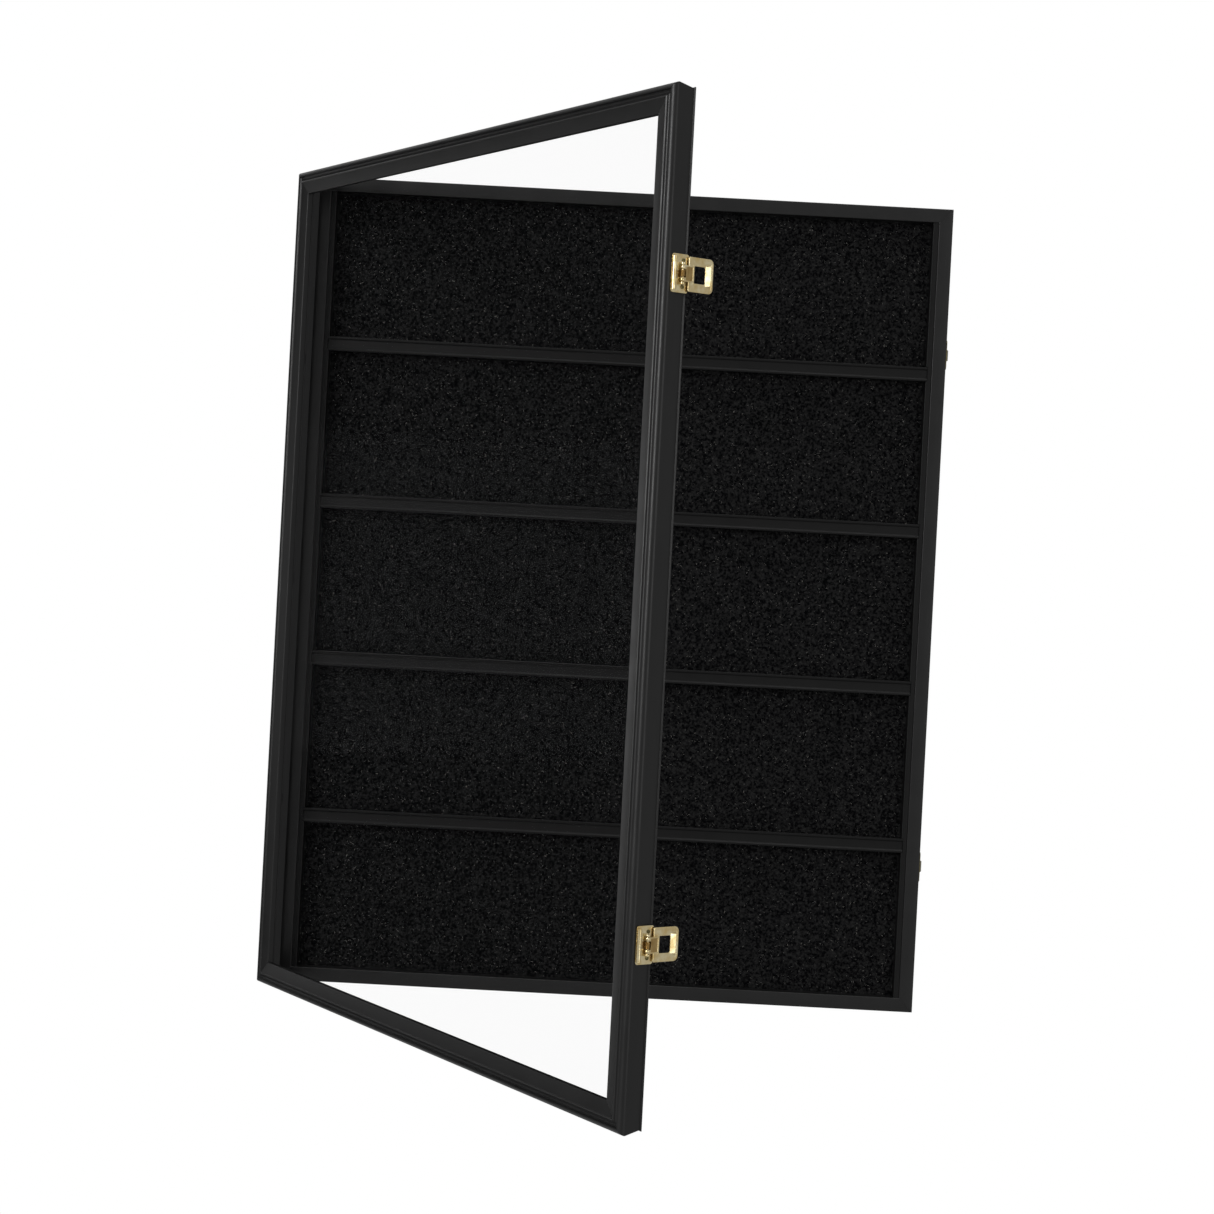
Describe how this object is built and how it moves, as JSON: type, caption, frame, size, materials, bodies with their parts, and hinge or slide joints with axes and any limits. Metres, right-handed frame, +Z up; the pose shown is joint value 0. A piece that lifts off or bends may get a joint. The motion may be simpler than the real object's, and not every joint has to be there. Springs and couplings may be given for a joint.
{
  "type": "coin display frame",
  "caption": "Shallow black wall case with ledges over a felt back, closed by a hinged glazed door with sprung hasp latches.",
  "frame": {"origin": "midway between the two keyhole hangers' entry holes, on the plane of the hanger plates' rear faces", "axes": "+Z up, +X to the viewer's right, the front of the case faces -Y and the wall is on +Y"},
  "size_m": [0.4067, 0.3572, 0.498],
  "materials": {
    "black_lacquer": "satin black lacquer over wood moulding",
    "black_moulding": "satin black extruded strip",
    "black_felt": "pressed felt",
    "mounting_board": "black fibreboard",
    "hardboard": "painted hardboard",
    "clear_acrylic": "clear cast acrylic",
    "rubber": "moulded",
    "zinc_steel": "zinc plated",
    "blackened_steel": "blackened",
    "spring_steel": "brass plated wire",
    "brass_plate": "bright pale brass plate"
  },
  "bodies": {
    "case": {"case_top_rail": "black_lacquer", "case_bottom_rail": "black_lacquer", "case_left_rail": "black_lacquer", "case_right_rail": "black_lacquer", "case_corner_nails": "zinc_steel", "left_upright": "black_moulding", "right_upright": "black_moulding", "shelf_1": "black_moulding", "shelf_2": "black_moulding", "shelf_3": "black_moulding", "shelf_4": "black_moulding", "shelf_screws": "zinc_steel", "felt_panel": "black_felt", "mounting_board": "mounting_board", "back_board": "hardboard", "back_points": "zinc_steel", "hanger_left": "zinc_steel", "hanger_right": "zinc_steel", "hanger_screws": "zinc_steel", "wall_bumpers": "rubber", "upper_hinge_case_leaf": "brass_plate", "lower_hinge_case_leaf": "brass_plate", "hinge_case_nails": "brass_plate", "upper_hinge_pin": "brass_plate", "lower_hinge_pin": "brass_plate", "upper_catch": "brass_plate", "lower_catch": "brass_plate", "catch_nails": "brass_plate"},
    "door": {"door_top_rail": "black_lacquer", "door_bottom_rail": "black_lacquer", "door_hinge_stile": "black_lacquer", "door_latch_stile": "black_lacquer", "door_corner_nails": "zinc_steel", "pane": "clear_acrylic", "pane_points": "blackened_steel", "upper_hinge_door_leaf": "brass_plate", "lower_hinge_door_leaf": "brass_plate", "hinge_door_nails": "brass_plate", "upper_latch_base": "brass_plate", "lower_latch_base": "brass_plate", "latch_nails": "brass_plate", "upper_latch_spring": "spring_steel", "lower_latch_spring": "spring_steel"},
    "hasp_upper": {"upper_hasp": "brass_plate", "upper_latch_pin": "brass_plate"},
    "hasp_lower": {"lower_hasp": "brass_plate", "lower_latch_pin": "brass_plate"}
  },
  "joints": [
    {"name": "door_hinge", "type": "hinge", "parent": "case", "child": "door", "pos_m": [-0.1984, -0.02145, -0.189], "axis": [0, 0, -1], "range_deg": [-55.5, 119.5]},
    {"name": "hasp_upper_pivot", "type": "hinge", "parent": "door", "child": "hasp_upper", "pos_m": [0.02281, -0.35144, -0.03], "axis": [0, 0, -1], "range_deg": [0, 110], "stiffness_Nm_per_rad": 0.001, "springref_deg": -20.05},
    {"name": "hasp_lower_pivot", "type": "hinge", "parent": "door", "child": "hasp_lower", "pos_m": [0.02281, -0.35144, -0.348], "axis": [0, 0, -1], "range_deg": [0, 110], "stiffness_Nm_per_rad": 0.001, "springref_deg": -20.05}
  ]
}
